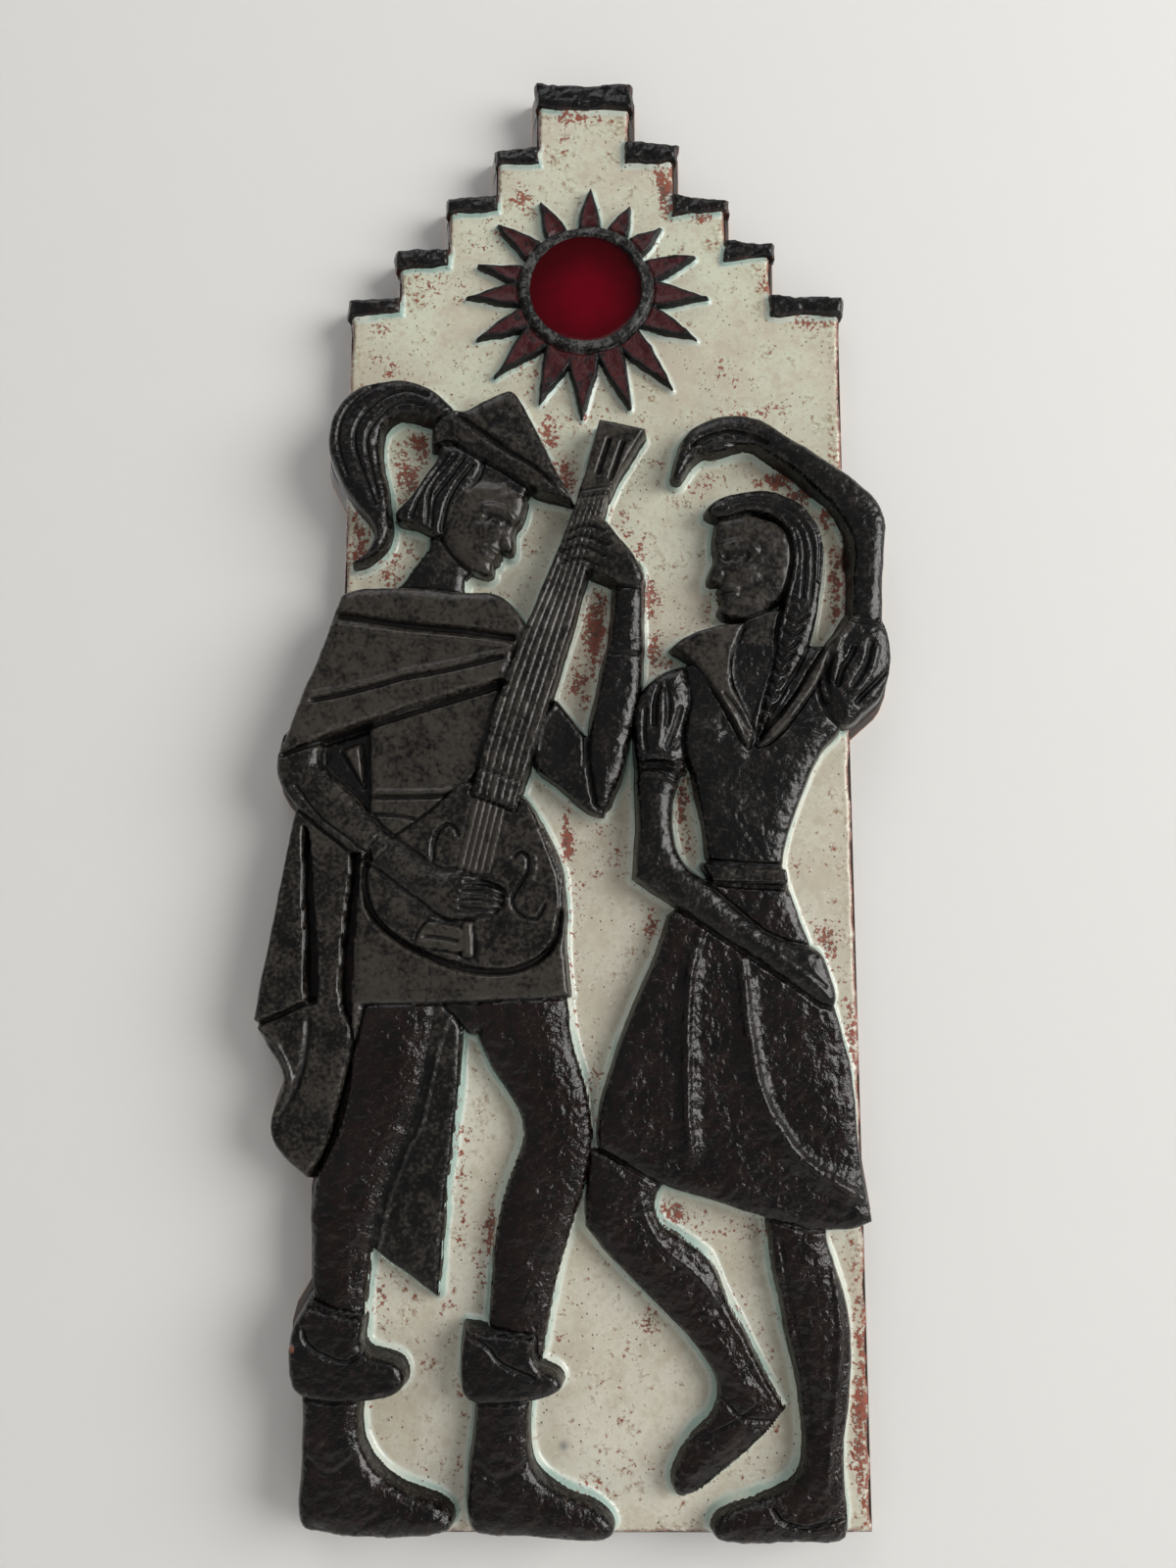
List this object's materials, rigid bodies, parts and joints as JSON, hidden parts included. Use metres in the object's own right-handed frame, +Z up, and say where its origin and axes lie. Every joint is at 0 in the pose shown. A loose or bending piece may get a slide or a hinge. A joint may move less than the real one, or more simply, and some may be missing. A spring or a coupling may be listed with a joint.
{
  "type": "ceramic wall sculpture",
  "caption": "Stepped ceramic wall plaque in relief: a sun with rays above a strolling guitar player and a dancing woman, with a hanging slot in the back.",
  "frame": {"origin": "middle of the flat back, where it lies on the wall, half way up and on the slab's centre line", "axes": "+X to the right as seen from the front, +Z up, +Y into the wall, so the relief looks along -Y"},
  "size_m": [0.2035, 0.023, 0.4652],
  "materials": {
    "cream_glaze": "semi-gloss cream glaze with tan mottling",
    "dark_glaze": "satin black-brown oxide glaze",
    "red_pool": "deep glossy red"
  },
  "bodies": {
    "root": {"ceramic_relief": "cream_glaze"}
  },
  "joints": []
}
